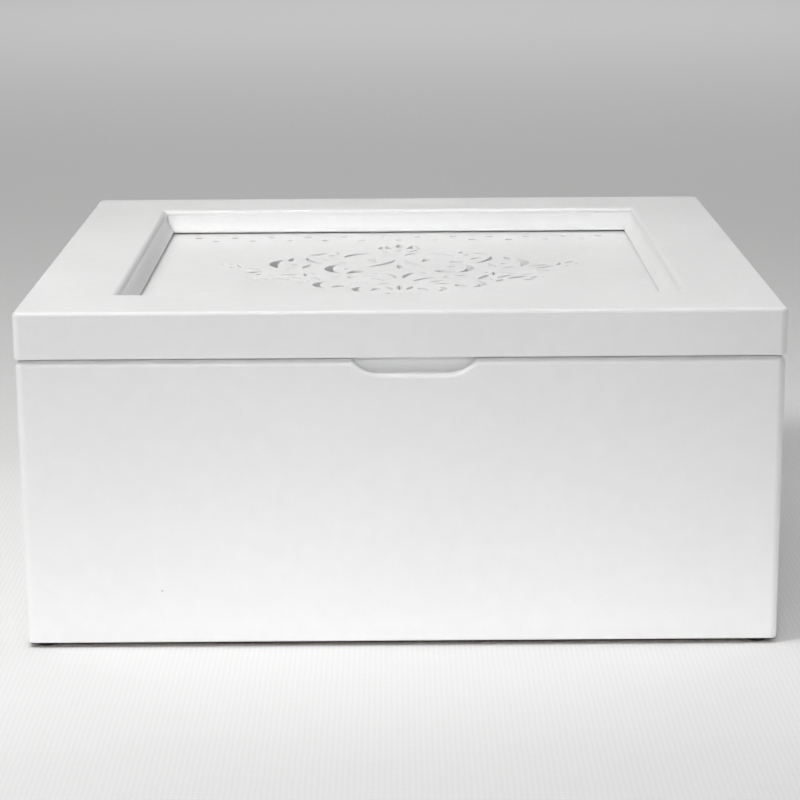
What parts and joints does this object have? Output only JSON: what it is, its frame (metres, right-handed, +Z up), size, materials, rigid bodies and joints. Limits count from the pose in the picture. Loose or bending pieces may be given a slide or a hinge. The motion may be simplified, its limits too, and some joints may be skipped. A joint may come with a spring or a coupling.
{
  "type": "wedding card box",
  "caption": "White painted wooden card box: a hinged lid with a mitred, moulded frame around a pierced scrollwork panel, and a finger notch under the lid's front edge to lift it by.",
  "frame": {"origin": "middle of the footprint, on the surface the box stands on", "axes": "+X to the right as seen from the front, +Y from the front to the back, +Z up"},
  "size_m": [0.3, 0.2846, 0.1363],
  "materials": {
    "white_paint": "white satin paint on smooth board",
    "base_board": "thin board, painted white, slightly flatter than the walls",
    "felt": "dark pressed felt",
    "brass": "plain bright brass",
    "steel": "drawn steel wire",
    "dowel_wood": "bare beech"
  },
  "bodies": {
    "case": {"front_wall": "white_paint", "back_wall": "white_paint", "left_wall": "white_paint", "right_wall": "white_paint", "base_panel": "base_board", "felt_foot_front_left": "felt", "felt_foot_front_right": "felt", "felt_foot_back_left": "felt", "felt_foot_back_right": "felt", "hinge_left_case_leaf": "brass", "hinge_right_case_leaf": "brass", "hinge_left_pin": "steel", "hinge_right_pin": "steel", "case_hinge_screws": "brass"},
    "lid": {"lid_front_rail": "white_paint", "lid_back_rail": "white_paint", "lid_left_stile": "white_paint", "lid_right_stile": "white_paint", "lid_fret_panel": "white_paint", "lid_bead_front": "white_paint", "lid_bead_back": "white_paint", "lid_bead_left": "white_paint", "lid_bead_right": "white_paint", "mitre_dowels": "dowel_wood", "hinge_left_lid_leaf": "brass", "hinge_right_lid_leaf": "brass", "lid_hinge_screws": "brass"}
  },
  "joints": [
    {"name": "lid_hinge", "type": "hinge", "parent": "case", "child": "lid", "pos_m": [0, 0.13995, 0.11755], "axis": [-1, 0, 0], "range_deg": [0, 100]}
  ]
}
